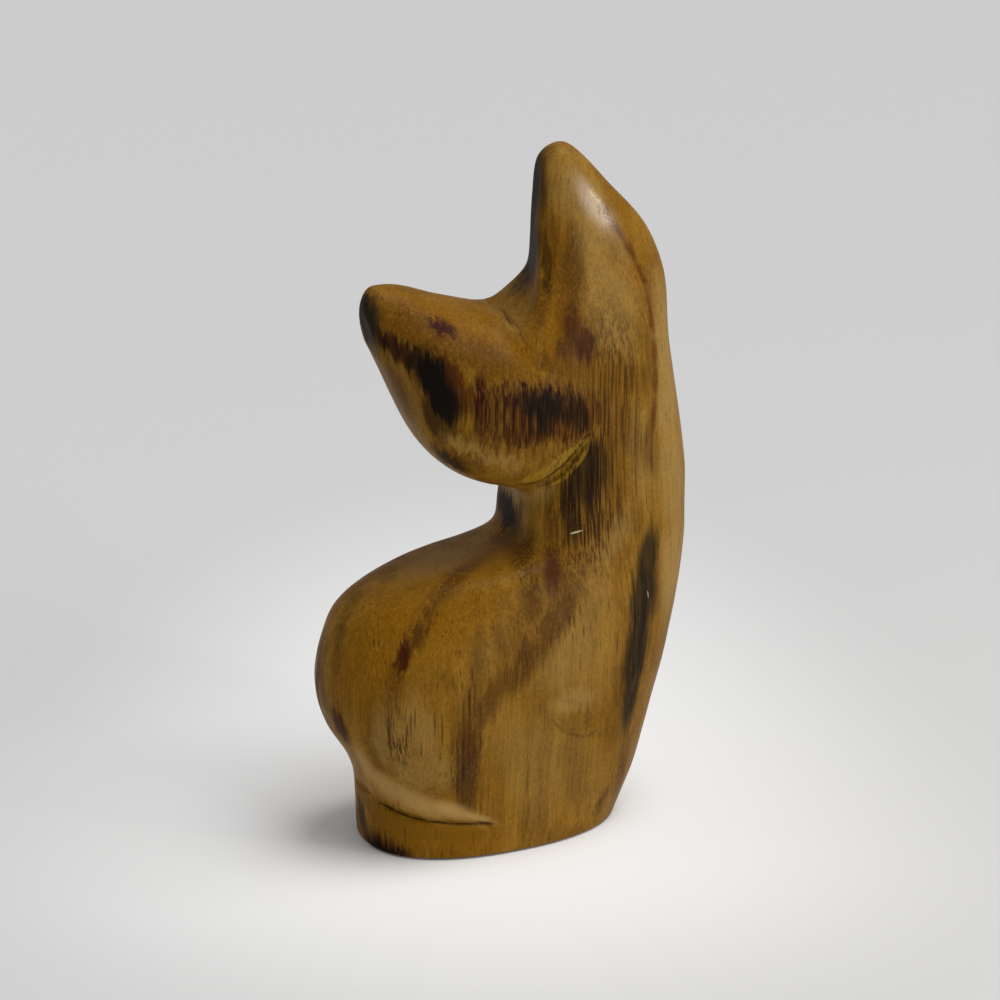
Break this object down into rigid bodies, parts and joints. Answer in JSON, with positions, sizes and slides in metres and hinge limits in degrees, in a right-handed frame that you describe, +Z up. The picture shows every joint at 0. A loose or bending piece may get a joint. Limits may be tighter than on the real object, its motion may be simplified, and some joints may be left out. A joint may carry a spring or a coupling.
{
  "type": "carved wooden cat figurine",
  "caption": "Small smooth-carved hardwood cat ornament, seated side on with a turned, tilted head, one ear up and one back, on a flat felt-lined foot.",
  "frame": {"origin": "middle of the resting face on the underside of the foot, where the figure meets the surface it stands on", "axes": "+Z up, along the grain to the tip of the upright ear; +X towards the chest, -X towards the rump; the head is turned to look out at -Y, the side that the picture shows"},
  "size_m": [0.0689, 0.0346, 0.1224],
  "materials": {
    "oiled_hardwood": "hand-sanded, oiled, satin, with dark scorched and stained patches along the grain",
    "black_felt": "matt pressed felt"
  },
  "bodies": {
    "root": {"carved_cat": "oiled_hardwood", "felt_pad": "black_felt"}
  },
  "joints": []
}
